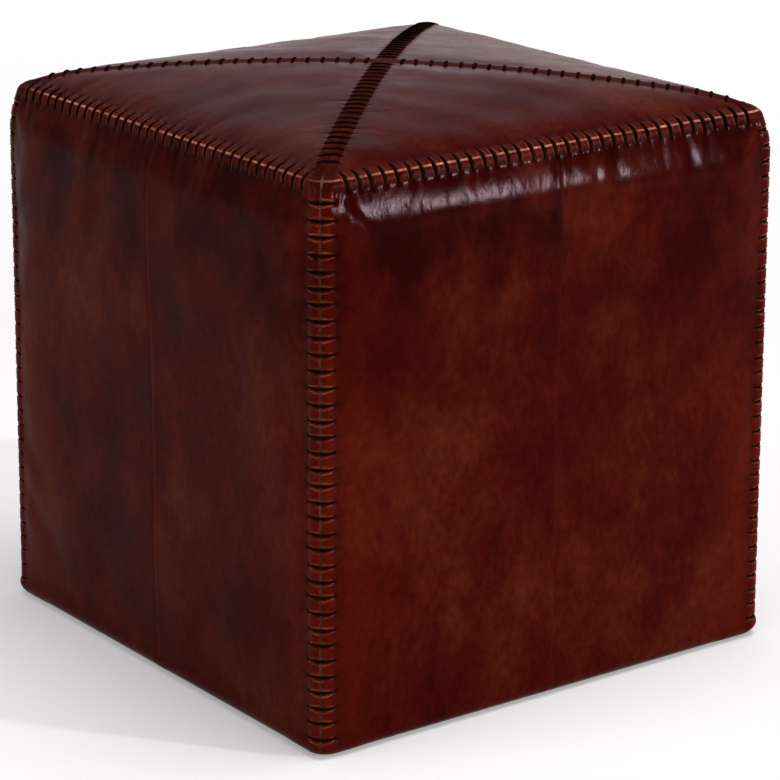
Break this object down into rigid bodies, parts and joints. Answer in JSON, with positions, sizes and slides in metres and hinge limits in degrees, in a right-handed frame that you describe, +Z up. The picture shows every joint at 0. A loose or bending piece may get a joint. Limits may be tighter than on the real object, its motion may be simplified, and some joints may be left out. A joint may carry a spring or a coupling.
{
  "type": "laced leather cube pouf",
  "caption": "Firm cube pouf: a padded wooden box under a crowned seat, in a burnished leather cover whose panels are laced together along the edges, corners and seat diagonals.",
  "frame": {"origin": "on the floor, under the middle of the pouf", "axes": "+Z up, front face towards -Y, +X to the right as seen from the front"},
  "size_m": [0.454, 0.454, 0.4821],
  "materials": {
    "cover_leather": "satin",
    "lace_leather": "satin",
    "frame_wood": "matte",
    "board_wood": "matte",
    "seat_foam": "matte",
    "seat_wadding": "matte",
    "side_felt": "matte",
    "seam_thread": "matte",
    "steel": "satin",
    "dust_cloth": "matte"
  },
  "bodies": {
    "root": {"post_front_right": "frame_wood", "post_back_right": "frame_wood", "post_back_left": "frame_wood", "post_front_left": "frame_wood", "lower_rail_front": "frame_wood", "lower_rail_right": "frame_wood", "lower_rail_back": "frame_wood", "lower_rail_left": "frame_wood", "upper_rail_front": "frame_wood", "upper_rail_right": "frame_wood", "upper_rail_back": "frame_wood", "upper_rail_left": "frame_wood", "frame_dowels": "frame_wood", "side_board_front": "board_wood", "side_board_right": "board_wood", "side_board_back": "board_wood", "side_board_left": "board_wood", "board_nails": "steel", "seat_deck": "board_wood", "deck_screws": "steel", "seat_foam": "seat_foam", "seat_wadding": "seat_wadding", "side_felt_front": "side_felt", "side_felt_right": "side_felt", "side_felt_back": "side_felt", "side_felt_left": "side_felt", "top_panel_front": "cover_leather", "top_panel_right": "cover_leather", "top_panel_back": "cover_leather", "top_panel_left": "cover_leather", "side_panel_front_left_half": "cover_leather", "side_panel_front_right_half": "cover_leather", "side_panel_right_left_half": "cover_leather", "side_panel_right_right_half": "cover_leather", "side_panel_back_left_half": "cover_leather", "side_panel_back_right_half": "cover_leather", "side_panel_left_left_half": "cover_leather", "side_panel_left_right_half": "cover_leather", "seam_thread_front": "seam_thread", "seam_thread_right": "seam_thread", "seam_thread_back": "seam_thread", "seam_thread_left": "seam_thread", "edge_lace_front": "lace_leather", "edge_lace_right": "lace_leather", "edge_lace_back": "lace_leather", "edge_lace_left": "lace_leather", "corner_lace_front_right": "lace_leather", "corner_lace_back_right": "lace_leather", "corner_lace_back_left": "lace_leather", "corner_lace_front_left": "lace_leather", "diagonal_lace_front_right_to_back_left": "lace_leather", "diagonal_lace_back_right_to_front_left": "lace_leather", "hem_staples": "steel", "dust_cover": "dust_cloth", "dust_cover_staples": "steel"}
  },
  "joints": []
}
